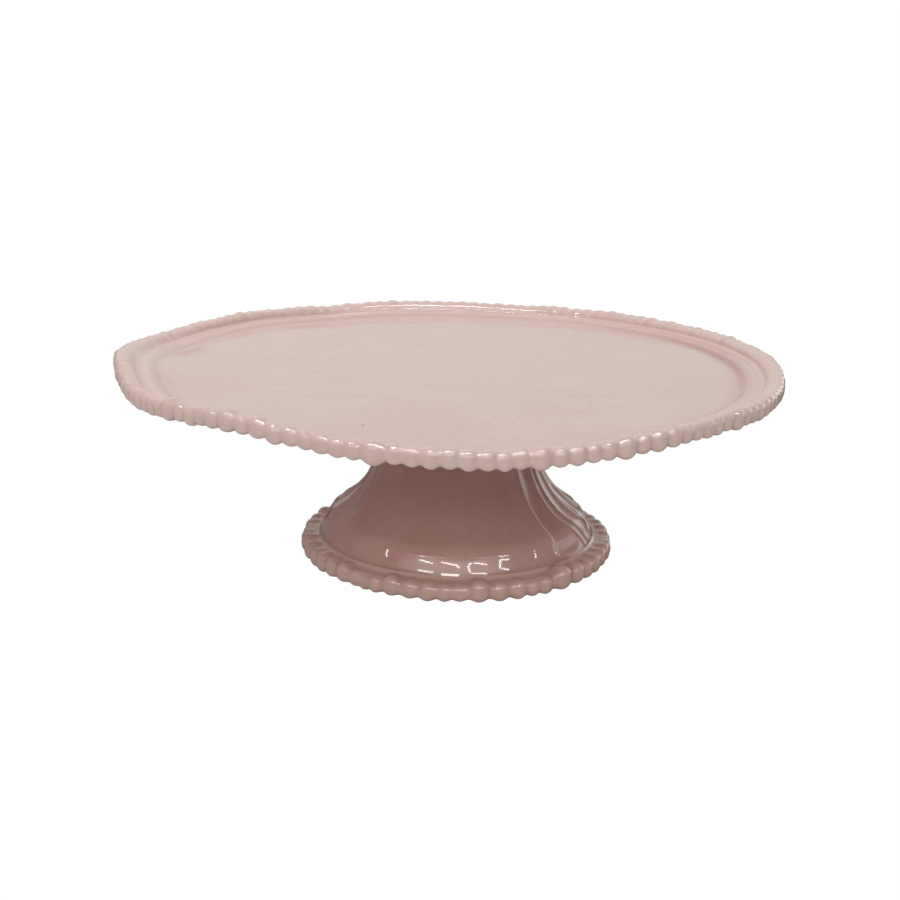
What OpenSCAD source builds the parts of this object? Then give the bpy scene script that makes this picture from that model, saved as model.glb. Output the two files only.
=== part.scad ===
// Footed cake stand in glazed ceramic: a round plate with a beaded rim,
// luted to a hollow flared pedestal with a beaded foot.
// Millimetres, +Z up, origin on the table at the centre of the foot.

/* [Plate] */
// Radius of the plate edge, behind the rim beads
plate_r = 152.5; // [140:0.5:170]
// Radius of the flat cake well
well_r = 138; // [125:0.5:138]
// Height of the cake well above the table
well_z = 92.5; // [86:0.5:110]
// Thickness of the plate at the well
plate_t = 6.5; // [5:0.5:9]
// Height of the soft step from the well up to the rim band
step_h = 2; // [1:0.1:2.5]

/* [Pedestal] */
// Radius of the foot flange, behind the foot beads
foot_r = 71.5; // [65:0.5:80]
// Inner radius of the foot ring that rests on the table
foot_in_r = 63; // [55:0.5:63]
// Height of the foot flange
flange_h = 7.5; // [6:0.5:9]
// Radius of the neck at its narrowest
neck_r = 36.4; // [30:0.2:42]
// Wall of the hollow pedestal, measured level
wall_t = 6; // [4:0.5:8]
// Radius that the luting fillet reaches under the plate
luting_r = 45; // [42:0.5:52]

/* [Rim beads] */
// Angle at which the first repeat of beads starts
rim_start = 240.3; // [0:0.1:359]
// Radius of an average rim bead
rim_bead_r = 4.25; // [3.6:0.05:5]
// Distance from the plate edge to the bead centres
rim_bead_out = 3.1; // [2:0.1:3.4]

/* [Foot beads] */
// Angle at which the first repeat of foot beads starts
foot_start = 208.8; // [0:0.1:359]
// Radius of an average foot bead
foot_bead_r = 4.5; // [3.8:0.05:5]
// Distance from the foot flange to the bead centres
foot_bead_out = 2.3; // [2:0.1:3.4]
// Gap between the foot beads and the table
foot_bead_gap = 0.3; // [0.2:0.1:1]

/* [Seams] */
// Width of the seam of glaze between two neighbouring beads
seam = 0.1; // [0.05:0.01:0.3]

/* [Hidden] */
$fn = 96;

// Hand-rolled beads differ in size. Each list gives the relative widths of
// the beads of one repeat, and the repeats together go once round.
rim_widths = [
    8.0, 7.6, 6.6, 6.4, 6.8, 6.6,
    6.4, 9.6, 6.6, 7.0, 7.4, 7.2,
    7.4, 7.0, 6.2, 6.4, 9.4, 6.6,
    7.6, 6.2, 6.6, 9.2, 6.8
];
foot_widths = [
    8.4, 8.6, 8.4, 6.2, 5.2,
    7.0, 8.8, 8.4, 8.0, 7.0,
    6.8, 10.2, 8.6, 8.6, 6.2,
    7.4, 11.4, 9.4, 7.6
];
rim_repeats = 6;
foot_repeats = 3;
// A repeat is laid down in four runs of beads, and each run is one node
runs_per_repeat = 4;
rim_run_len = 6;
foot_run_len = 5;
rim_runs = rim_repeats * runs_per_repeat;
foot_runs = foot_repeats * runs_per_repeat;
// How much a bead's radius grows with its width
rim_gain = 0.28;
foot_gain = 0.35;

band_z = well_z + step_h;
plate_under_z = well_z - plate_t;
rim_bead_z = band_z + 1;
// Foot beads are cut by the flange over their whole height
foot_wall_top = 20;
// Size of the blocks that cut the beads apart
reach = 12;

colour_plate = [0.85, 0.76, 0.73];
colour_beads = [0.83, 0.73, 0.71];
colour_pedestal = [0.78, 0.67, 0.64];

function two(n) = n < 10 ? str("0", n) : str(n);
function rim_name(run) = str("rim_beads_", two(run + 1));
function foot_name(run) = str("foot_beads_", two(run + 1));

// A soft step from p to q, level at both ends
function soft_step(p, q, n = 8) =
    [for (i = [0 : n]) let (t = i / n) [
        p.x + (q.x - p.x) * t,
        p.y + (q.y - p.y) * t * t * (3 - 2 * t)
    ]];

// One span of a smooth curve between b and c, with a and d as neighbours
function span(a, b, c, d, t) =
    0.5 * (2 * b + (c - a) * t + (2 * a - 5 * b + 4 * c - d) * t * t
    + (3 * b - a - 3 * c + d) * t * t * t);

// A smooth curve through every point of the list
function smooth(p, n = 4) =
    let (last = len(p) - 1)
    concat(
        [for (i = [0 : last - 1], j = [0 : n - 1])
            span(p[max(i - 1, 0)], p[i], p[i + 1], p[min(i + 2, last)], j / n)],
        [p[last]]
    );

function sum_to(v, n) = n <= 0 ? 0 : v[n - 1] + sum_to(v, n - 1);
function total(v) = sum_to(v, len(v));
function mean(v) = total(v) / len(v);

// Bead k counts on round the ring, and takes its width from the list
function bead_span(v, repeats, k) = v[k % len(v)] * 360 / repeats / total(v);
function bead_start(v, repeats, start, k) =
    start + floor(k / len(v)) * 360 / repeats
    + sum_to(v, k % len(v)) * 360 / repeats / total(v);
function bead_radius(v, r, gain, k) = r + gain * (v[k % len(v)] - mean(v));

// The beads of one run: its repeat's beads, in runs of run_len
function run_beads(v, run, run_len) =
    let (
        first = floor(run / runs_per_repeat) * len(v),
        from = (run % runs_per_repeat) * run_len,
        to = min(from + run_len, len(v)) - 1
    )
    [for (i = [from : to]) first + i];

// One bead: a ball that is cut flat against the seams on both sides, and
// fitted to the wall that it sits on, which ends at a height of wall_top.
module bead(wall_r, wall_top, out, z, r, start, angle) {
    centre_r = wall_r + out;
    half_angle = angle / 2 - seam / 2 / centre_r * 180 / PI;
    rotate([0, 0, start + angle / 2])
        difference() {
            translate([centre_r, 0, z])
                rotate([0, 90, 0])
                    sphere(r = r);
            cylinder(r = wall_r, h = wall_top);
            for (side = [-1, 1])
                rotate([0, 0, side * half_angle])
                    translate([centre_r - reach, (side - 1) / 2 * reach, z - reach])
                        cube([2 * reach, reach, 2 * reach]);
        }
}

// Well, soft step, rim band, edge, and a thinner outer underside
module plate() {
    color(colour_plate)
        rotate_extrude()
            polygon(concat(
                [[0, plate_under_z], [plate_r - 20.5, plate_under_z]],
                smooth([
                    [plate_r - 12, plate_under_z + 1],
                    [plate_r - 5, plate_under_z + 2.9],
                    [plate_r - 1.2, plate_under_z + 4.8],
                    [plate_r, plate_under_z + 6]
                ]),
                [[plate_r, band_z]],
                soft_step([well_r + 5.2, band_z], [well_r, well_z]),
                [[0, well_z]]
            ));
}

// Flared hollow foot, open below, closed above by the plate
module pedestal() {
    outer = [
        [foot_r - 2.3, flange_h + 2.1],
        [foot_r - 3.9, flange_h + 4.5],
        [foot_r - 7.3, flange_h + 9],
        [neck_r + 22.8, 22],
        [neck_r + 17, 28],
        [neck_r + 12.2, 34],
        [neck_r + 7.8, 41],
        [neck_r + 4.5, 48],
        [neck_r + 2, 55],
        [neck_r + 0.6, 62],
        [neck_r, 70],
        [neck_r + 0.2, 76]
    ];
    inner = [
        [foot_in_r, 0],
        [foot_in_r - 1.2, 4],
        [foot_in_r - 3.6, 11],
        [neck_r + 21.6 - wall_t, 20],
        [neck_r + 14.6 - wall_t, 28],
        [neck_r + 10.6 - wall_t, 34],
        [neck_r + 6.8 - wall_t, 41],
        [neck_r + 4 - wall_t, 48],
        [neck_r + 1.7 - wall_t, 55],
        [neck_r + 0.4 - wall_t, 62],
        [neck_r - wall_t, 70],
        [neck_r + 0.2 - wall_t, 76]
    ];
    color(colour_pedestal)
        rotate_extrude()
            polygon(concat(
                [
                    [foot_r - 1, 0],
                    [foot_r, 1],
                    [foot_r, flange_h],
                    [foot_r - 0.8, flange_h + 1.3]
                ],
                smooth(outer),
                [
                    [neck_r + 1.2, plate_under_z],
                    [neck_r + 1.2 - wall_t, plate_under_z]
                ],
                reversed(smooth(inner))
            ));
}

function reversed(v) = [for (i = [len(v) - 1 : -1 : 0]) v[i]];

// Roll of clay smoothed into the corner between the neck and the plate
module luting_fillet() {
    drop = 6;
    lip = 0.6;
    neck_top = neck_r + 1.2;
    low_z = plate_under_z - drop;
    // The neck widens by 1 mm from a height of 76 mm up to the plate
    neck_low = neck_top - drop / (plate_under_z - 76);
    hollow = [for (i = [0 : 12]) let (a = 90 * i / 12) [
        neck_low + lip + (luting_r - neck_low - lip) * (1 - cos(a)),
        low_z + drop * sin(a)
    ]];
    color(colour_pedestal)
        rotate_extrude()
            polygon(concat([[neck_low, low_z]], hollow, [[neck_top, plate_under_z]]));
}

// A run of neighbouring beads on the plate edge
module rim_beads(run) {
    color(colour_beads)
        for (k = run_beads(rim_widths, run, rim_run_len))
            bead(
                plate_r,
                band_z,
                rim_bead_out,
                rim_bead_z,
                bead_radius(rim_widths, rim_bead_r, rim_gain, k),
                bead_start(rim_widths, rim_repeats, rim_start, k),
                bead_span(rim_widths, rim_repeats, k)
            );
}

// A run of neighbouring beads on the foot flange
module foot_beads(run) {
    color(colour_pedestal)
        for (k = run_beads(foot_widths, run, foot_run_len)) {
            r = bead_radius(foot_widths, foot_bead_r, foot_gain, k);
            bead(
                foot_r,
                foot_wall_top,
                foot_bead_out,
                foot_bead_gap + r,
                r,
                bead_start(foot_widths, foot_repeats, foot_start, k),
                bead_span(foot_widths, foot_repeats, k)
            );
        }
}

plate();
pedestal();
luting_fillet();
for (run = [0 : rim_runs - 1])
    rim_beads(run);
for (run = [0 : foot_runs - 1])
    foot_beads(run);
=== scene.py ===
"""Looks of the footed cake stand: glazed ceramic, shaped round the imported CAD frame.

Shapes are worked out in millimetres and scaled to metres when a mesh is made. Every piece is
first a grid of points, rows along its section and columns round the stand, on the ideal round
form. sway() then moves the points a little, because the stand was made by hand.
"""

import math

import bpy
import numpy as np
from mathutils import Matrix, Vector


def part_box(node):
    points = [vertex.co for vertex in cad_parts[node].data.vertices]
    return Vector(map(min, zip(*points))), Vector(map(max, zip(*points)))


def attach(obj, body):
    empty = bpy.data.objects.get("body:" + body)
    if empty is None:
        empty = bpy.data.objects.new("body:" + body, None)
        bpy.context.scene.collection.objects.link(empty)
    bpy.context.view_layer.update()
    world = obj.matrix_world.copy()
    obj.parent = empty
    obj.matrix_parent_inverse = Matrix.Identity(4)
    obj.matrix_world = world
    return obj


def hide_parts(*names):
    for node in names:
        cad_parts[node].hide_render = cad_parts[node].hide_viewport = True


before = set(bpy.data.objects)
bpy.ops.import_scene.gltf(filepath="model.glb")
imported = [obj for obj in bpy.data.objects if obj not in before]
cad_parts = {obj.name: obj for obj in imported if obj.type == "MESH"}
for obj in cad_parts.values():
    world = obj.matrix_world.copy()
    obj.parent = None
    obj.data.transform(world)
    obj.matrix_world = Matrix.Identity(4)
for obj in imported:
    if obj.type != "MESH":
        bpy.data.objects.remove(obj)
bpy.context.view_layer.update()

MM = 0.001
TAU = 2 * math.pi
rng = np.random.default_rng(7)

# ---------------------------------------------------------------- sizes from the frame

plate_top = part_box("plate")[1] / MM
plate_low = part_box("plate")[0] / MM
pedestal_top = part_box("pedestal")[1] / MM

EDGE_R = plate_top.x
UNDER_Z = plate_low.z
BAND_Z = plate_top.z
WELL_Z = BAND_Z - 2.0
FLANGE_R = pedestal_top.x

# Radii of the well's edge, of the outer end of the step, and where the rim's skin begins
WELL_R = EDGE_R - 13.3
BAND_R = EDGE_R - 8.5
SKIRT_R = EDGE_R - 7.7

# Points of the section, as (radius, height), that the rim and the foot are drawn from
RIM = np.array([EDGE_R, BAND_Z])
FLANGE = np.array([FLANGE_R, 0.0])

# How far the plate's rim rises above its true height in millimetres, every 15 degrees from the
# left end round the front, the right end and the back
RIM_LIFTS = [3.0, 5.4, -0.4, 1.7, 3.1, -1.0, -3.4, -3.8, -1.3, 0.1, -0.6, -0.5]
RIM_LIFTS += [1.0, 1.0, 0.9, 0.4, 0.4, -0.5, -0.1, 0.2, -0.5, 0.5, 0.0, -0.2]


# ---------------------------------------------------------------- small helpers


def ramp(x, a, b):
    """0 below a, 1 above b, smooth between."""
    t = np.clip((x - a) / (b - a), 0.0, 1.0)
    return t * t * (3 - 2 * t)


def smin(a, b, k):
    """The smaller of two distances, with the corner between them filled to a radius near k."""
    h = np.maximum(k - np.abs(a - b), 0.0) / k
    return np.minimum(a, b) - h * h * k / 4


def span(a, b, c, d, t):
    """A smooth curve from b to c as t goes from 0 to 1, with a and d as their neighbours."""
    return 0.5 * (
        2 * b
        + (c - a) * t
        + (2 * a - 5 * b + 4 * c - d) * t**2
        + (3 * b - a - 3 * c + d) * t**3
    )


def smooth_line(points, n):
    """A smooth curve through the points, with n steps from each to the next."""
    p = np.asarray(points, float)
    before = np.vstack([2 * p[0] - p[1], p[:-2]])
    after = np.vstack([p[2:], 2 * p[-1] - p[-2]])
    t = (np.arange(n) / n)[None, :, None]
    spans = span(*(q[:, None, :] for q in (before, p[:-1], p[1:], after)), t)
    return np.vstack([spans.reshape(-1, 2), p[-1:]])


def arc(centre, radius, start, end, n):
    """n + 1 points on an arc, the angles in degrees."""
    t = np.radians(np.linspace(start, end, n + 1))
    return np.column_stack([centre[0] + radius * np.cos(t), centre[1] + radius * np.sin(t)])


def hump(angles, centre, width):
    """1 at an angle, falling smoothly to 0 on both sides of it."""
    off = np.arctan2(np.sin(angles - centre), np.cos(angles - centre))
    return np.exp(-((off / width) ** 2))


def round_ring(values, t):
    """A smooth closed curve through values at even angles, the first at half a turn back."""
    v = np.asarray(values)
    at = (t / TAU + 0.5) * len(v)
    i = np.floor(at).astype(int)
    return span(*(np.take(v, i + k, mode="wrap") for k in (-1, 0, 1, 2)), at - i)


def sway(p):
    """Where points of the ideal form lie on the hand-made stand.

    The outer part of the plate rises and falls, and the pedestal leans a little to the right
    at its foot and to the left at its top.
    """
    x, y, z = p[..., 0], p[..., 1], p[..., 2]
    r = np.hypot(x, y)
    out = ramp(z, 72, 86) * ramp(r, 85, 165)
    lift = round_ring(RIM_LIFTS, np.arctan2(y, x))
    lean = 1.8 - 4.6 * ramp(z, 35, 97)
    return np.stack([x + lean, y, z + out * lift], -1)


def spin(line, angles):
    """Rows along the section line (radius, height), columns at the angles."""
    r, z = line[:, 0][:, None], line[:, 1][:, None]
    return np.stack([r * np.cos(angles), r * np.sin(angles), z + 0 * angles], -1)


def grid_normals(p, ring=False):
    """Unit normals of a grid whose columns close on themselves, and its rows too if ring."""
    around = np.roll(p, -1, 1) - np.roll(p, 1, 1)
    along = np.roll(p, -1, 0) - np.roll(p, 1, 0) if ring else np.gradient(p, axis=0)
    n = np.cross(along, around)
    return n / np.maximum(np.linalg.norm(n, axis=-1, keepdims=True), 1e-12)


def quads(rows, cols, wrap_rows, wrap_cols):
    """Faces of a grid of rows by cols points, numbered row by row."""
    i = np.arange(rows if wrap_rows else rows - 1)[:, None]
    j = np.arange(cols if wrap_cols else cols - 1)[None, :]
    i2, j2 = (i + 1) % rows, (j + 1) % cols
    f = np.stack([i * cols + j, i * cols + j2, i2 * cols + j2, i2 * cols + j], -1)
    return f.reshape(-1, 4).tolist()


def volume(points, faces):
    """Signed volume inside faces of four corners, which tells which way they face."""
    q = points[np.asarray(faces)]
    one = np.einsum("ij,ij->i", q[:, 0], np.cross(q[:, 1], q[:, 2])).sum()
    two = np.einsum("ij,ij->i", q[:, 0], np.cross(q[:, 2], q[:, 3])).sum()
    return (one + two) / 6


def make_piece(name, points, faces, normals, pool_and_shade, materials, stands_for):
    """A piece from points in millimetres, with its own normals, if given, and pooled glaze and
    painted shade.
    """
    if volume(points, [f for f in faces if len(f) == 4]) < 0:
        faces = [f[::-1] for f in faces]
    mesh = bpy.data.meshes.new(name)
    mesh.from_pydata((points * MM).tolist(), [], faces)
    mesh.polygons.foreach_set("use_smooth", np.ones(len(mesh.polygons), bool))
    # The pool_and_shade amounts deepen the glaze colour: pooled glaze, and painted shade in places
    mesh.attributes.new("pool_and_shade", "FLOAT", "POINT").data.foreach_set(
        "value", np.asarray(pool_and_shade, np.float32).ravel()
    )
    for m in materials:
        mesh.materials.append(m)
    mesh.update()
    if normals is not None:
        mesh.normals_split_custom_set_from_vertices(normals.reshape(-1, 3).tolist())
    piece = bpy.data.objects.new(name, mesh)
    bpy.context.scene.collection.objects.link(piece)
    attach(piece, "root")
    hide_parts(*stands_for)
    return piece


# ---------------------------------------------------------------- beads, as the frame holds them


def islands(node):
    """The separate solids of a CAD node, each as an array of its points in millimetres."""
    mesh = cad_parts[node].data
    co = np.empty(len(mesh.vertices) * 3)
    mesh.vertices.foreach_get("co", co)
    co = co.reshape(-1, 3) / MM
    ends = np.empty(len(mesh.edges) * 2, int)
    mesh.edges.foreach_get("vertices", ends)
    spots, same = np.unique(np.round(co, 3), axis=0, return_inverse=True)
    a, b = same.ravel()[ends.reshape(-1, 2)].T
    label = np.arange(len(spots))
    while True:
        low = np.minimum(label[a], label[b])
        new = label.copy()
        np.minimum.at(new, a, low)
        np.minimum.at(new, b, low)
        new = new[new]
        if (new == label).all():
            break
        label = new
    return [spots[label == k] for k in np.unique(label)]


def blur(values, reach):
    """Rows of values, each smoothed along its closed row over a reach in columns."""
    steps = np.arange(-18, 19)
    weights = np.exp(-((steps / reach) ** 2) / 2)
    return sum(w * np.roll(values, k, 1) for k, w in zip(steps, weights)) / weights.sum()


def read_beads(prefix):
    """Every bead of a ring, in order round it: its node, angle, half-angle, radius and place."""
    found = []
    for node in sorted(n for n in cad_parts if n.startswith(prefix)):
        for pts in islands(node):
            middle = math.atan2(pts[:, 1].mean(), pts[:, 0].mean())
            turn = np.arctan2(pts[:, 1], pts[:, 0]) - middle
            turn = (turn + math.pi) % TAU - math.pi
            radius = (pts[:, 2].max() - pts[:, 2].min()) / 2
            found.append(
                {
                    "node": node,
                    "angle": middle + (turn.max() + turn.min()) / 2,
                    "half": (turn.max() - turn.min()) / 2,
                    "radius": radius,
                    "r": np.hypot(pts[:, 0], pts[:, 1]).max() - radius,
                    "z": (pts[:, 2].max() + pts[:, 2].min()) / 2,
                }
            )
    start = found[0]["angle"]
    found.sort(key=lambda b: (b["angle"] - start + 1e-6) % TAU)
    return found


# The power that shapes a bead's section: 2 is round, and more is squarer
SQUARENESS = 2.4


class BeadRing:
    """A ring of beads as columns of angles, and the distance from any point to its beads."""

    def __init__(self, beads, per_bead, wobble, inward, outward):
        """A ring of beads, with per_bead columns of points on each.

        They lie about wobble millimetres out of line, and reach inward and outward by those
        shares of their radius.
        """
        n = len(beads)
        self.inward, self.outward = inward, outward
        angle = np.array([b["angle"] for b in beads])
        self.angle = angle[0] + (angle - angle[0] + 1e-6) % TAU
        half = np.array([b["half"] for b in beads])
        self.radius = np.array([b["radius"] for b in beads]) * rng.normal(1, 0.02, n)
        even = 0.7 * ramp(np.sin(self.angle), -0.7, -0.2)
        self.radius += (self.radius.mean() - self.radius) * even
        self.r = np.array([b["r"] for b in beads]) + rng.normal(0, wobble * 0.5, n)
        self.r += (1 - outward) * self.radius
        self.z = np.array([b["z"] for b in beads]) + rng.normal(0, wobble, n)
        self.wide = rng.uniform(0.97, 1.08, n)
        left = self.angle - half
        right = np.roll(left, -1)
        right[-1] += TAU
        steps = np.arange(per_bead) / per_bead
        self.columns = (left[:, None] + (right - left)[:, None] * steps).ravel()
        self.owner = np.repeat(np.arange(n), per_bead)
        self.per_bead = per_bead
        self.nodes = [b["node"] for b in beads]

    def distance(self, r, z, fill):
        """Distance from points, rows by columns, to the nearest beads.

        The creases between the beads are filled to a radius near fill.
        """
        near = 0
        soft = 0.36 * fill
        for side in (-2, -1, 0, 1, 2):
            i = (self.owner + side) % len(self.angle)
            turn = self.columns - self.angle[i]
            turn = (turn + math.pi) % TAU - math.pi
            dx = r * np.cos(turn) - self.r[i]
            dx = np.abs(np.where(dx < 0, dx / self.inward, dx / self.outward))
            dy = np.abs(r * np.sin(turn) / self.wide[i])
            dz = np.abs(z - self.z[i])
            section = (dx**SQUARENESS + dz**SQUARENESS) ** (2 / SQUARENESS)
            d = np.sqrt(section + dy**2) - self.radius[i]
            near = near + np.exp(-d / soft)
        return -soft * np.log(near)

    def soften(self, values, reach, far_reach):
        """Rows by columns of lengths, with the creases between beads rounded by the glaze.

        The reach is in columns in front, and grows to far_reach at the sides and the back.
        """
        front = ramp(np.sin(self.columns), -0.38, -0.58)
        return front * blur(values, reach) + (1 - front) * blur(values, far_reach)

    def runs(self):
        """For each CAD node, its first column and how many columns it has."""
        first = {}
        for i, node in enumerate(self.nodes):
            first.setdefault(node, []).append(i)
        each = self.per_bead
        return [(node, i[0] * each, len(i) * each) for node, i in first.items()]


def outward(line):
    """The outward direction at each point of a section line, as a radius and a height."""
    along = np.gradient(line, axis=0)
    length = np.linalg.norm(along, axis=1)
    return (-along[:, 1] / length)[:, None], (along[:, 0] / length)[:, None]


def cast(line, field, start):
    """Moves a section line, given as rows of (radius, height), on to a surface for each column.

    Each point starts that far outside the line and comes in along the line's normal.
    """
    out_r, out_z = outward(line)
    line_r, line_z = line[:, 0][:, None], line[:, 1][:, None]
    t = start * np.ones_like(field(line_r, line_z))
    for _ in range(40):
        t = t - np.clip(field(line_r + out_r * t, line_z + out_z * t), -0.5, 0.8) * 0.9
    return line_r + out_r * t, line_z + out_z * t


def skin(ring, line, field, start, reach, far_reach):
    """The line cast on to the beads, with the creases between them rounded and its ends kept."""
    r, z = (ring.soften(v, reach, far_reach) for v in cast(line, field, start))
    r[0], z[0] = line[0]
    r[-1], z[-1] = line[-1]
    return r, z


def pooling(field, line, r, z):
    """How much glaze gathers at each point: more where there is little room in front of it."""
    reach = 1.3
    out_r, out_z = outward(line)
    room = field(r + out_r * reach, z + out_z * reach) / reach
    return np.clip(1.25 * (1 - room), 0, 1)


def make_runs(ring, r, z, back, pool_and_shade, name, material):
    """One closed piece for each run of beads: its glazed outside, and a back that fits the clay."""
    cols = ring.columns
    outside = sway(np.stack([r * np.cos(cols), r * np.sin(cols), z], -1))
    normals = grid_normals(outside)
    behind = sway(spin(back, cols))
    loop = np.concatenate([outside, behind])
    loop_normals = np.concatenate([normals, grid_normals(behind)])
    loop_pool_and_shade = np.concatenate([pool_and_shade, np.zeros(behind.shape[:2])])
    rows = len(loop)
    for node, first, count in ring.runs():
        take = np.arange(first, first + count + 1) % len(cols)
        points = loop[:, take].reshape(-1, 3)
        faces = quads(rows, count + 1, True, False)
        start = [i * (count + 1) for i in range(rows)]
        end = [i * (count + 1) + count for i in range(rows)]
        faces.append(start)
        faces.append(end[::-1])
        make_piece(
            f"{name}_{node[-2:]}",
            points,
            faces,
            loop_normals[:, take],
            loop_pool_and_shade[:, take],
            [material],
            [node],
        )


# ---------------------------------------------------------------- materials


def noise(tree, place, scale, detail=3.0, rough=0.5, warp=0.0):
    """A cloudy pattern fixed to the piece, from 0 to 1."""
    n = tree.nodes.new("ShaderNodeTexNoise")
    tree.links.new(place, n.inputs["Vector"])
    n.inputs["Scale"].default_value = scale
    n.inputs["Detail"].default_value = detail
    n.inputs["Roughness"].default_value = rough
    n.inputs["Distortion"].default_value = warp
    return n.outputs["Fac"]


def remap(tree, value, low, high, out_low, out_high):
    """A value between low and high, moved smoothly to between out_low and out_high."""
    n = tree.nodes.new("ShaderNodeMapRange")
    n.interpolation_type = "SMOOTHSTEP"
    tree.links.new(value, n.inputs["Value"])
    n.inputs["From Min"].default_value = low
    n.inputs["From Max"].default_value = high
    n.inputs["To Min"].default_value = out_low
    n.inputs["To Max"].default_value = out_high
    return n.outputs["Result"]


def blend(tree, amount, a, b):
    """Colour a where amount is 0, and b where it is 1."""
    n = tree.nodes.new("ShaderNodeMix")
    n.data_type = "RGBA"
    for index, value in ((0, amount), (6, a), (7, b)):
        if isinstance(value, bpy.types.NodeSocket):
            tree.links.new(value, n.inputs[index])
        else:
            n.inputs[index].default_value = value
    return n.outputs[2]


def maths(tree, kind, a, b):
    """ADD or MULTIPLY two values, each a number or another node's output."""
    n = tree.nodes.new("ShaderNodeMath")
    n.operation = kind
    for i, value in enumerate((a, b)):
        if isinstance(value, bpy.types.NodeSocket):
            tree.links.new(value, n.inputs[i])
        else:
            n.inputs[i].default_value = value
    return n.outputs[0]


def times(tree, a, b):
    """The product of two values, each a number or another node's output."""
    return maths(tree, "MULTIPLY", a, b)


def bump(tree, shader, height, strength, distance):
    """Raises the shader's surface by a height pattern, at most by a distance in millimetres."""
    n = tree.nodes.new("ShaderNodeBump")
    n.inputs["Strength"].default_value = strength
    n.inputs["Distance"].default_value = distance * MM
    tree.links.new(height, n.inputs["Height"])
    tree.links.new(n.outputs["Normal"], shader.inputs["Normal"])


def new_material(name):
    """A material, its node tree, its shader and the place on the piece that patterns follow."""
    mat = bpy.data.materials.new(name)
    mat.use_nodes = True
    tree = mat.node_tree
    shader = tree.nodes["Principled BSDF"]
    place = tree.nodes.new("ShaderNodeTexCoord").outputs["Object"]
    return mat, tree, shader, place


def srgb(r, g, b):
    """A colour given as 0 to 255 screen values, as linear light."""
    c = [v / 255 for v in (r, g, b)]
    return [v / 12.92 if v < 0.04045 else ((v + 0.055) / 1.055) ** 2.4 for v in c] + [1.0]


def add_speck(tree, place, colour, speck):
    """A dark speck under a millimetre across, at a place given in millimetres."""
    apart = tree.nodes.new("ShaderNodeVectorMath")
    apart.operation = "DISTANCE"
    tree.links.new(place, apart.inputs[0])
    apart.inputs[1].default_value = [v * MM for v in speck]
    near = remap(tree, apart.outputs["Value"], 0.4 * MM, 0.9 * MM, 0.8, 0.0)
    return blend(tree, near, colour, srgb(110, 88, 80))


def glaze(name, base, thin, pooled_and_shaded, waviness, speck=None):
    """Glossy ceramic glaze: mottled with thinner glaze, and of a deeper colour where it pools and
    where shade is painted on.
    """
    mat, tree, shader, place = new_material(name)
    cloud = noise(tree, place, 22, 3, 0.55, 0.6)
    grain = noise(tree, place, 260, 4, 0.6)
    pool_and_shade = tree.nodes.new("ShaderNodeAttribute")
    pool_and_shade.attribute_name = "pool_and_shade"
    colour = blend(tree, remap(tree, cloud, 0.38, 0.66, 0.0, 0.55), base, thin)
    colour = blend(tree, remap(tree, grain, 0.45, 0.75, 0.0, 0.16), colour, pooled_and_shaded)
    # Deeper colour where the glaze pools, and as painted shade where a piece sets it
    colour = blend(tree, pool_and_shade.outputs["Fac"], colour, pooled_and_shaded)
    if speck:
        colour = add_speck(tree, place, colour, speck)
    tree.links.new(colour, shader.inputs["Base Color"])
    rough = remap(tree, noise(tree, place, 90, 2), 0.3, 0.7, 0.045, 0.065)
    tree.links.new(rough, shader.inputs["Roughness"])
    shader.inputs["IOR"].default_value = 1.58
    long_waves = noise(tree, place, 48, 2, 0.45)
    fine_waves = noise(tree, place, 420, 2, 0.5)
    height = maths(tree, "ADD", long_waves, times(tree, fine_waves, 0.02))
    bump(tree, shader, height, 1.0, waviness)
    return mat


def bisque():
    """The bare fired clay of the foot ring, which carries no glaze."""
    mat, tree, shader, place = new_material("bare_clay")
    grit = noise(tree, place, 900, 5, 0.7)
    stain = noise(tree, place, 70, 3)
    stained = remap(tree, stain, 0.35, 0.7, 0, 1)
    colour = blend(tree, stained, srgb(226, 214, 198), srgb(198, 180, 160))
    gritty = remap(tree, grit, 0.5, 0.7, 0, 0.4)
    colour = blend(tree, gritty, colour, srgb(150, 132, 114))
    tree.links.new(colour, shader.inputs["Base Color"])
    shader.inputs["Roughness"].default_value = 0.85
    bump(tree, shader, grit, 0.7, 0.15)
    return mat


PLATE_GLAZE = glaze(
    "plate_glaze",
    base=srgb(205, 182, 175),
    thin=srgb(208, 189, 183),
    pooled_and_shaded=srgb(178, 136, 131),
    waviness=0.25,
    speck=(-37.8, -111.2, 92.5),
)
BEAD_GLAZE = glaze(
    "bead_glaze",
    base=srgb(212, 188, 181),
    thin=srgb(216, 194, 188),
    pooled_and_shaded=srgb(186, 148, 142),
    waviness=0.1,
)
# A darker, redder copy of the plate's glaze: painted shade for the pedestal and the fillet under
# the plate
SHADED_PEDESTAL_GLAZE = glaze(
    "pedestal_glaze",
    base=srgb(181, 141, 131),
    thin=srgb(187, 151, 141),
    pooled_and_shaded=srgb(157, 112, 102),
    waviness=0.06,
)
# A darker copy of the bead glaze: painted shade for the foot beads under the plate
SHADED_FOOT_GLAZE = glaze(
    "foot_bead_glaze",
    base=srgb(202, 170, 160),
    thin=srgb(208, 178, 169),
    pooled_and_shaded=srgb(168, 126, 116),
    waviness=0.1,
)
BARE_CLAY = bisque()


# ---------------------------------------------------------------- plate


# Radii of the rows of points on the well, and on the flat underside
WELL_ROWS = (2, 6, 12, 20, 29, 38, 47, 56, 65, 74, 83, 92, 101, 109, 117, 124, 130, 134)
UNDER_ROWS = (126, 118, 108, 98, 88, 78, 68, 58, 50, 44, 38, 32, 24, 15, 6)


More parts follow.
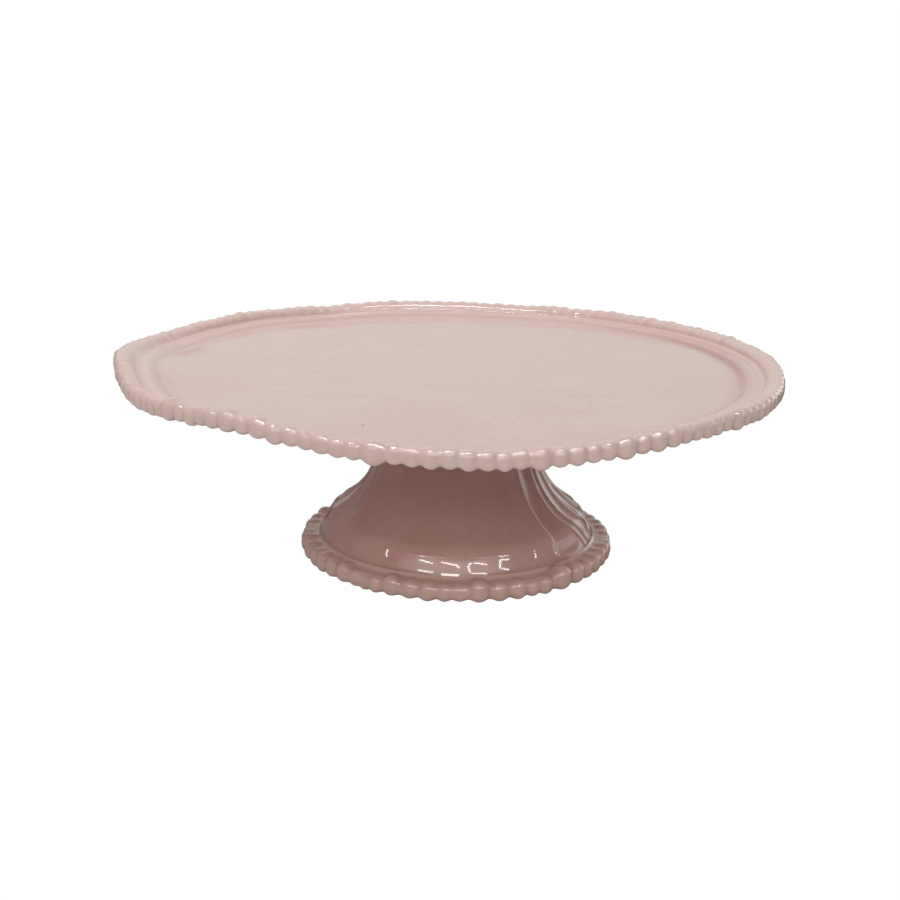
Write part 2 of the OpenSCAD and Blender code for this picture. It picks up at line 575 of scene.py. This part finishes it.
def plate_section():
    """The plate's section from the middle of the well, over the hidden core of the rim, and back.

    Also how many of its rows, from the middle outwards, are on top and carry pooled glaze and
    painted shade.
    """
    well = [(r, WELL_Z) for r in WELL_ROWS]
    step_r = np.linspace(WELL_R - 1.5, BAND_R - 0.9, 14)
    step_z = WELL_Z + (BAND_Z - WELL_Z) * ramp(step_r, WELL_R - 0.5, BAND_R)
    step = np.column_stack([step_r, step_z])
    band = [(BAND_R, BAND_Z), (BAND_R + 0.4, BAND_Z), (SKIRT_R, BAND_Z)]
    core = [(-5.5, -0.3), (-1.9, -0.36), (-0.7, -0.9), (-0.4, -2.0), (-1.5, -3.25), (-3.5, -4.35)]
    under = [(-5, -5.6), (-8.5, -6.6), (-12, -7.5), (-16.2, -8.15), (-20.5, -8.5)]
    below = [(r, UNDER_Z) for r in UNDER_ROWS]
    line = np.vstack([well, step, band, RIM + core, smooth_line(RIM + under, 3), below])
    return line, len(well) + len(step) + len(band) + 1


def right_side(angles):
    """1 at the right end of the plate, falling to 0 towards the front and the back."""
    return hump(angles, 0.15, 0.6)


def plate_waves(r, angles):
    """The slight unevenness of the well, in millimetres."""
    two_sided = 0.10 * np.sin(2 * angles + 0.6) * (r / 140) ** 2
    five_sided = 0.05 * np.cos(5 * angles - 1.1) * (r / 140) ** 3
    rings = 0.04 * np.cos(r / 19 + 2 * np.sin(angles))
    return (two_sided + five_sided + rings) * (1 - ramp(r, 136, BAND_R))


def plate_pool_and_shade(r, angles):
    """Glaze gathered in the groove round the well, with painted shade on the groove and the step at
    the right.
    """
    right = right_side(angles)
    # Painted shade: the groove and the step are darker towards the right end
    groove = np.exp(-(((r - WELL_R - 1.4) / 2.8) ** 2)) * (0.15 + 0.8 * right)
    step = 0.35 * ramp(r, WELL_R, BAND_R) * right
    return np.maximum(groove, step)


def build_plate():
    line, top_rows = plate_section()
    angles = np.linspace(0, TAU, 720, endpoint=False)
    points = spin(line, angles)
    r = line[:, 0][:, None]
    top = np.arange(len(line))[:, None] < top_rows
    points[..., 2] += np.where(top, plate_waves(r, angles), 0)
    points = sway(points)
    rows, cols = points.shape[:2]
    flat = points.reshape(-1, 3)
    faces = quads(rows, cols, False, True)
    middle_top = flat[:cols].mean(0)
    middle_low = flat[-cols:].mean(0)
    a, b = len(flat), len(flat) + 1
    last = (rows - 1) * cols
    for j in range(cols):
        k = (j + 1) % cols
        faces.append([a, k, j])
        faces.append([b, last + j, last + k])
    normals = grid_normals(points).reshape(-1, 3)
    pool_and_shade = plate_pool_and_shade(r, angles) * top
    make_piece(
        "glazed_plate",
        np.vstack([flat, middle_top, middle_low]),
        faces,
        np.vstack([normals, [[0, 0, 1], [0, 0, -1]]]),
        np.append(pool_and_shade.ravel(), [0, 0]),
        [PLATE_GLAZE],
        ["plate"],
    )


# ---------------------------------------------------------------- beaded rim


RIM_BEADS = BeadRing(read_beads("rim_beads_"), 22, 0.25, 1.2, 0.8)


def rim_field(r, z):
    """How far a point is from the rim's skin: beads, the ring that joins them and the plate."""
    around = RIM_BEADS.columns
    right_end = hump(around, -0.14, 0.26)
    left_end = hump(around, 3.1, 0.35)
    back = ramp(np.sin(around), -0.4, 0.4)
    high = ramp(z - BAND_Z, 1.0, 4.2)
    fill = 1.0 + 2.0 * right_end + 1.4 * left_end + (1.1 - 0.7 * back) * high
    beads = RIM_BEADS.distance(r, z + 0.4, fill)
    r, z = r - EDGE_R, z - BAND_Z
    ring = np.hypot((r - 1.6) / 1.1, z - 0.6) - (2.9 - 0.3 * back)
    below = np.interp(r, [-20.5, -12, -5, -1.2, 0], [-8.5, -7.5, -5.6, -3.7, -2.5])
    slab = np.maximum(z, np.maximum((below - z) * 0.93, r))
    d = smin(beads, ring, 1.2)
    return smin(d, slab, 2.2 - 1.2 * back + 3.5 * left_end)


def build_rim():
    over = [(-7.7, 0), (-5.3, 0.1), (-3.3, 0.8), (-1.4, 2.6), (0.6, 4.4), (3.1, 5.3)]
    around = [(6.0, 4.2), (7.5, 1.0), (6.1, -2.2), (3.2, -3.7)]
    beneath = [(0, -3.9), (-3, -4.8), (-5, -5.6)]
    line = smooth_line(RIM + (over + around + beneath), 4)
    r, z = skin(RIM_BEADS, line, rim_field, 2.0, 1.7, 4.5)
    pool_and_shade = 0.6 * pooling(rim_field, line, r, z)
    # Painted shade on the inner side of the rim towards the right end
    inside = (1 - ramp(r, EDGE_R - 4.5, EDGE_R - 1.5)) * (z > BAND_Z - 1)
    pool_and_shade = np.maximum(pool_and_shade, 0.4 * inside * right_side(RIM_BEADS.columns))
    back = [(-3.5, -4.4), (-1.4, -3.35), (-0.3, -2.0), (-0.6, -0.8), (-1.9, -0.28), (-5.5, -0.23)]
    make_runs(RIM_BEADS, r, z, RIM + back, pool_and_shade, "rim_bead_run", BEAD_GLAZE)


# ---------------------------------------------------------------- pedestal

# Ridges left by the pulled flutes, from the left round the front to the right, each as (angle
# in degrees, height of its crest, depth of the flute after it, degrees that it bends by at the
# foot), with heights and depths in millimetres
RIDGES = [
    (-160.5, 0.15, 0.15, 0),
    (-150, 0.15, 0.15, 0),
    (-139, 0.15, 0.15, 0),
    (-128.5, 0.1, 0.15, 0),
    (-118, 0.1, 0.1, 0),
    (-107.3, 0.1, 0.1, 0),
    (-97, 0.1, 0.15, 0),
    (-86.7, 0.1, 0.1, 0),
    (-75.7, 0.1, 0.1, 0),
    (-64.5, 0.1, 0.1, 0),
    (-54.5, 0.1, 0.15, 0),
    (-44.5, 0.7, 0.9, 0),
    (-30.5, 0.8, 0.6, 7),
    (-24, 0.5, 0.7, 5.5),
    (-14, 0.4, 0.6, 2),
    (-3.5, 0.4, 0.5, 0),
]

# Ridges and flutes fainter than this end that much higher up, and leave the bulge smooth, all
# in millimetres
FAINT = 0.2
FAINT_RISE = 12


def flutes(angles, r, z):
    """How far the pulled flutes and the ridges between them move the pedestal's wall.

    Round the back the ridges are about evenly spaced, and differ by chance.
    """
    ridges, crests, hollows, bends = np.array(RIDGES, float).T
    rest = np.linspace(ridges[-1], ridges[0] + 360, 20)[1:-1]
    ridges = np.radians(np.append(ridges, rest + rng.normal(0, 0.6, len(rest))))
    crests = np.append(crests, rng.uniform(0.15, 0.5, len(rest)))
    hollows = np.append(hollows, rng.uniform(0.2, 0.35, len(rest)))
    bends = np.radians(np.append(bends, np.zeros(len(rest))))
    swing = 1 - ramp(z, 12, 27)
    move = np.zeros((len(z), len(angles)))
    # u runs from 0 at one ridge to 1 at the next, across the flute between them
    for i in range(len(ridges)):
        k = (i + 1) % len(ridges)
        left = ridges[i] + bends[i] * swing
        width = ((ridges[k] - ridges[i]) % TAU) + (bends[k] - bends[i]) * swing
        u = ((angles - left) % TAU) / width
        end = 10.5 + 3 * (2 * u - 1) ** 2 + FAINT_RISE * (hollows[i] < FAINT)
        depth = hollows[i] * 4 * u * (1 - u) * ramp(z - end, 0, 4)
        move -= np.where(u < 1, depth, 0)
        away = ((angles - left + math.pi) % TAU - math.pi) * r
        foot = 10.5 + FAINT_RISE * (crests[i] < FAINT)
        move += crests[i] * np.exp(-((away / 0.8) ** 2)) * ramp(z, foot, foot + 2.5)
    return move * (1 - ramp(z, 76, 83.5))


def pedestal_section():
    """The pedestal's section in four parts: outside, hidden behind the beads, sole and inside."""
    neck = [(37.6, UNDER_Z), (36.6, 76), (36.4, 70), (37, 62), (38.4, 55), (40.5, 48), (43.2, 41)]
    flare = [(47.4, 34), (52.9, 28), (58, 24), (62, 21.2)]
    bulge = arc((14, -12.6), 59, 32, 22.5, 6)
    outside = smooth_line(np.vstack([neck, flare, bulge]), 4)
    hidden = FLANGE + [(-2.6, 9.0), (-1.9, 7.4), (-1.3, 5.8), (-1.2, 0.5), (-1.3, 0.15)]
    sole = [(70.0, 0), (69.5, 0), (67, 0), (64, 0), (63.4, 0.05), (63, 0.4)]
    mouth = [(62.8, 1.2), (61.8, 4), (59.4, 11), (52, 20), (45, 28), (41, 34), (37.2, 41)]
    hollow = [(34.4, 48), (32.1, 55), (30.8, 62), (30.4, 70), (30.6, 76), (31.6, UNDER_Z)]
    return outside, hidden, sole, smooth_line(mouth + hollow, 2)


def build_pedestal():
    parts = pedestal_section()
    outside, hidden = parts[:2]
    n = len(outside)
    sole_at = n + len(hidden)
    angles = np.linspace(0, TAU, 900, endpoint=False)
    points = spin(np.vstack(parts), angles)
    r, z = outside[:, 0][:, None], outside[:, 1][:, None]
    move = flutes(angles, r, z)
    move += 0.18 * np.sin(3 * angles + z / 17) * ramp(z, 12, 30) * (1 - ramp(z, 70, 84))
    points[:n, :, 0] += move * np.cos(angles)
    points[:n, :, 1] += move * np.sin(angles)
    points = sway(points)
    normals = grid_normals(points, ring=True)
    # The bulge's end, and the corner and flat of the sole, don't blend with what is next to them
    normals[n - 1] = grid_normals(points[:n])[-1]
    normals[sole_at - 2 : sole_at] = grid_normals(points[n:sole_at])[-2:]
    normals[sole_at : sole_at + 5] = (0, 0, -1)
    rows, cols = points.shape[:2]
    corner = 0.8 * np.exp(-(((z - 9.4) / 1.6) ** 2))
    # Painted shade round the middle of the pedestal, under the plate
    middle = 0.35 * np.exp(-(((z - 41) / 12) ** 2))
    pool_and_shade = np.zeros((rows, cols))
    pool_and_shade[:n] = corner + middle + np.clip(-move * 0.25, 0, 0.4)
    piece = make_piece(
        "glazed_pedestal",
        points.reshape(-1, 3),
        quads(rows, cols, True, True),
        normals,
        pool_and_shade,
        [SHADED_PEDESTAL_GLAZE, BARE_CLAY],
        ["pedestal"],
    )
    bare = np.zeros((rows, cols), int)
    bare[sole_at - 1 : sole_at + 4] = 1
    piece.data.polygons.foreach_set("material_index", bare.ravel())
    piece.data.update()


def build_fillet():
    """The collar of glazed slip that joins the pedestal to the plate."""
    outside = [(36.9, -6.5), (37.3, -4.5), (38.5, -2.5), (40.6, -0.9), (45.2, -0.05)]
    hidden = [(44.0, 0.2), (38.4, 0.2), (36.6, -0.9), (36.0, -4.0), (36.0, -6.1)]
    line = np.vstack([smooth_line(outside, 5), hidden]) + [0, UNDER_Z]
    angles = np.linspace(0, TAU, 240, endpoint=False)
    points = sway(spin(line, angles))
    rows, cols = points.shape[:2]
    make_piece(
        "glazed_fillet",
        points.reshape(-1, 3),
        quads(rows, cols, True, True),
        None,
        np.full((rows, cols), 0.6),
        [SHADED_PEDESTAL_GLAZE],
        ["luting_fillet"],
    )


# ---------------------------------------------------------------- beaded foot


FOOT_BEADS = BeadRing(read_beads("foot_beads_"), 20, 0.2, 1.2, 0.85)


def foot_field(r, z):
    """How far a point is from the foot's skin: beads, the ring behind them and the flange."""
    beads = FOOT_BEADS.distance(r, z, 1.5 + 1.0 * ramp(z, 4, 9))
    r = r - FLANGE_R
    ring = np.hypot(r - 1.6, z - 4.6) - 3.7
    slope = (r + 2.9) * 0.83 + (z - 10.2) * 0.555
    flange = np.maximum(r + 0.1, z - 8.5)
    wall = smin(np.maximum(slope, r + 0.1), flange, 1.2)
    d = smin(beads, ring, 0.8)
    return np.maximum(smin(d, wall, 1.4), 0.1 - z)


def build_foot():
    over = [(-2.9, 10.2), (-1.3, 9.7), (0.3, 9.6), (2.4, 9.9), (5.3, 9.0), (7.2, 6.8)]
    beneath = [(7.5, 4.6), (6.5, 2.2), (4.6, 0.4), (2.3, 0.0), (0.7, 0.1), (-0.6, 0.1)]
    line = smooth_line(FLANGE + (over + beneath), 4)
    r, z = skin(FOOT_BEADS, line, foot_field, 1.5, 1.5, 3)
    pool_and_shade = pooling(foot_field, line, r, z)
    back = [(-1.1, 0.35), (-1.1, 1.5), (-1.2, 5.85), (-1.8, 7.45), (-2.5, 9.02)]
    make_runs(
        FOOT_BEADS, r, z, FLANGE + back, pool_and_shade, "foot_bead_run", SHADED_FOOT_GLAZE
    )


build_plate()
build_rim()
build_pedestal()
build_fillet()
build_foot()


# ---------------------------------------------------------------- studio


def glow(name, colour, strength):
    """A surface that shines evenly and has no shading."""
    mat = bpy.data.materials.new(name)
    mat.use_nodes = True
    tree = mat.node_tree
    tree.nodes.clear()
    emit = tree.nodes.new("ShaderNodeEmission")
    emit.inputs["Color"].default_value = colour
    emit.inputs["Strength"].default_value = strength
    out = tree.nodes.new("ShaderNodeOutputMaterial")
    tree.links.new(emit.outputs[0], out.inputs["Surface"])
    return mat


def round_prop(name, line, material):
    """A round part of the studio, from its section line. It isn't part of the stand."""
    points = spin(line, np.linspace(0, TAU, 64, endpoint=False))
    faces = quads(*points.shape[:2], False, True)
    mesh = bpy.data.meshes.new(name)
    mesh.from_pydata((points.reshape(-1, 3) * MM).tolist(), [], faces)
    mesh.materials.append(material)
    prop = bpy.data.objects.new(name, mesh)
    bpy.context.scene.collection.objects.link(prop)
    return prop


def build_floor():
    """A pale floor that curves up into a pale wall all round, seen by the camera only."""
    flat = [(0.6, -0.4), (2000, -0.4), (4000, -0.4)]
    wall = [(5200, 300), (6000, 1200), (6300, 2600), (5400, 5000), (2500, 6800)]
    white = glow("studio_white", (1, 1, 1, 1), 1.0)
    floor = round_prop("studio_floor", smooth_line(flat + wall, 4), white)
    floor.visible_diffuse = False
    floor.visible_glossy = False
    floor.visible_transmission = False
    floor.visible_shadow = False


def build_table():
    """A white table top that takes the plate's shadow and throws light back up at the stand."""
    paint, _, shader, _ = new_material("table_paint")
    shader.inputs["Base Color"].default_value = (0.75, 0.74, 0.73, 1)
    shader.inputs["Roughness"].default_value = 0.9
    line = np.array([(0.6, -0.6), (60, -0.6), (400, -0.6), (900, -0.6)])
    table = round_prop("table_top", line, paint)
    table.visible_camera = False
    table.visible_glossy = False


def area(name, place, target, size, power):
    """A lamp with a flat oblong face, which faces the target."""
    light = bpy.data.lights.new(name, "AREA")
    light.shape = "RECTANGLE"
    light.size, light.size_y = size
    light.energy = power
    lamp = bpy.data.objects.new(name, light)
    bpy.context.scene.collection.objects.link(lamp)
    lamp.location = place
    way = Vector(target) - Vector(place)
    lamp.rotation_mode = "QUATERNION"
    lamp.rotation_quaternion = way.to_track_quat("-Z", "Y")
    return lamp


# Thin lamps in front of the stand, each from one end to the other as (angle to the right of
# straight ahead, angle up), which show as fine lines of light on the glaze
LAMP_STRIPS = [
    ((-33, 33.5), (-20, 32.5)),
    ((-31, 25), (-19, 25.5)),
    ((-13, 35), (1, 33)),
    ((1, 33), (3, 30.5)),
    ((-12, 24.5), (3, 24.5)),
    ((16, 35), (28, 32)),
    ((14, 35), (11, 32.5)),
    ((11, 32.5), (12, 26.5)),
    ((13, 25.5), (26, 24)),
    ((41, 34), (49, 32)),
    ((41, 34), (38, 27)),
    ((38, 26.5), (45, 23.5)),
    ((-65, 29.5), (-62, 26.5)),
    ((74, 27.5), (72, 24)),
]

# Two long tubes overhead, given in the same way, which glint on the tops of the beads
LAMP_TUBES = [
    ((-66, 52), (66, 52)),
    ((-57, 52), (57, 52)),
]

# Distance of the thin lamps from the stand, and their width, in metres
LAMP_REACH = 2.2
LAMP_WIDTH = 0.045


def lamp_end(turn, up):
    """The place of a lamp's end, from its angles to the right of straight ahead and up."""
    turn, up = math.radians(turn), math.radians(up)
    level = math.cos(up)
    way = Vector((level * math.sin(turn), -level * math.cos(turn), math.sin(up)))
    return way * LAMP_REACH


def strip(start, end, power_per_metre):
    """A thin lamp between two directions, seen in reflections only."""
    first, last = lamp_end(*start), lamp_end(*end)
    along = last - first
    middle = (first + last) / 2
    size = (along.length, LAMP_WIDTH)
    lamp = area("strip", middle, (0, 0, 0.05), size, power_per_metre * along.length)
    out = middle.normalized()
    across = out.cross(along).normalized()
    turned = Matrix((across.cross(out), across, out)).transposed()
    lamp.rotation_quaternion = turned.to_quaternion()
    lamp.visible_diffuse = False


def build_lights():
    """Two soft boxes that light the stand and aren't reflected in it, and the thin lamps."""
    soft_boxes = [
        area("soft_box_above", (-0.3, 0.35, 1.3), (0, 0, 0.09), (1.4, 1.1), 14),
        area("soft_box_ahead", (-0.3, -1.9, 0.75), (0, 0, 0.06), (2.4, 0.7), 11),
    ]
    for lamp in soft_boxes:
        lamp.visible_glossy = False
    for start, end in LAMP_STRIPS:
        strip(start, end, 2.2)
    for start, end in LAMP_TUBES:
        strip(start, end, 12)


def build_world():
    """Soft light from all round, dim below and a little brighter above.

    On it are a bright band high in front of the stand, a pale wall behind it, paler light on
    the right, a bright panel low at the back right, and a dim panel low on the left.
    """
    world = bpy.data.worlds.new("studio")
    bpy.context.scene.world = world
    world.use_nodes = True
    tree = world.node_tree
    sky = tree.nodes["Background"]
    where = tree.nodes.new("ShaderNodeTexCoord").outputs["Generated"]
    axes = tree.nodes.new("ShaderNodeSeparateXYZ")
    tree.links.new(where, axes.inputs[0])
    x, y, z = axes.outputs

    def over(value, a, b):
        """0 at a, 1 at b and beyond."""
        return remap(tree, value, a, b, 0, 1)

    def under(value, a, b):
        """1 at a, 0 at b and beyond."""
        return remap(tree, value, a, b, 1, 0)

    up = over(z, -0.1, 0.4)
    band = times(tree, over(y, -0.45, -0.8), times(tree, over(z, 0.35, 0.45), under(z, 0.6, 0.8)))
    wall = times(tree, over(y, 0.2, 0.9), over(z, -0.15, 0.05))
    side = times(tree, over(x, 0.3, 0.9), times(tree, up, 0.4))
    right = times(tree, over(x, 0.42, 0.5), over(y, 0.15, 0.45))
    right = times(tree, right, times(tree, over(z, -0.1, 0.05), under(z, 0.2, 0.35)))
    left = times(tree, over(x, -0.3, -0.5), over(y, -0.5, 0.0))
    left = times(tree, left, under(z, 0.3, 0.45))
    colour = blend(tree, up, srgb(84, 73, 69), srgb(116, 110, 108))
    for part, light in (
        (band, (2.2, 2.15, 2.1, 1)),
        (wall, srgb(210, 206, 203)),
        (side, srgb(215, 212, 210)),
        (right, (1.7, 1.66, 1.63, 1)),
        (left, (0.3, 0.28, 0.27, 1)),
    ):
        colour = blend(tree, part, colour, light)
    tree.links.new(colour, sky.inputs["Color"])
    sky.inputs["Strength"].default_value = 1.0


def build_camera():
    """The camera in front of the stand, above it, and turned down to it with a slight roll."""
    lens = bpy.data.cameras.new("camera")
    lens.sensor_width = 36
    lens.lens = 52.6
    lens.clip_start = 0.01
    lens.clip_end = 100
    camera = bpy.data.objects.new("camera", lens)
    bpy.context.scene.collection.objects.link(camera)
    elevation = math.radians(20.16)
    distance = 0.672
    camera.location = (-0.002, -distance * math.cos(elevation), distance * math.sin(elevation))
    tilt = Matrix.Rotation(math.radians(90 - 16.01), 4, "X")
    roll = Matrix.Rotation(math.radians(0.99), 4, "Z")
    camera.rotation_mode = "QUATERNION"
    camera.rotation_quaternion = (tilt @ roll).to_quaternion()
    bpy.context.scene.camera = camera


build_floor()
build_table()
build_world()
build_lights()
build_camera()
bpy.context.scene.view_settings.view_transform = "Standard"
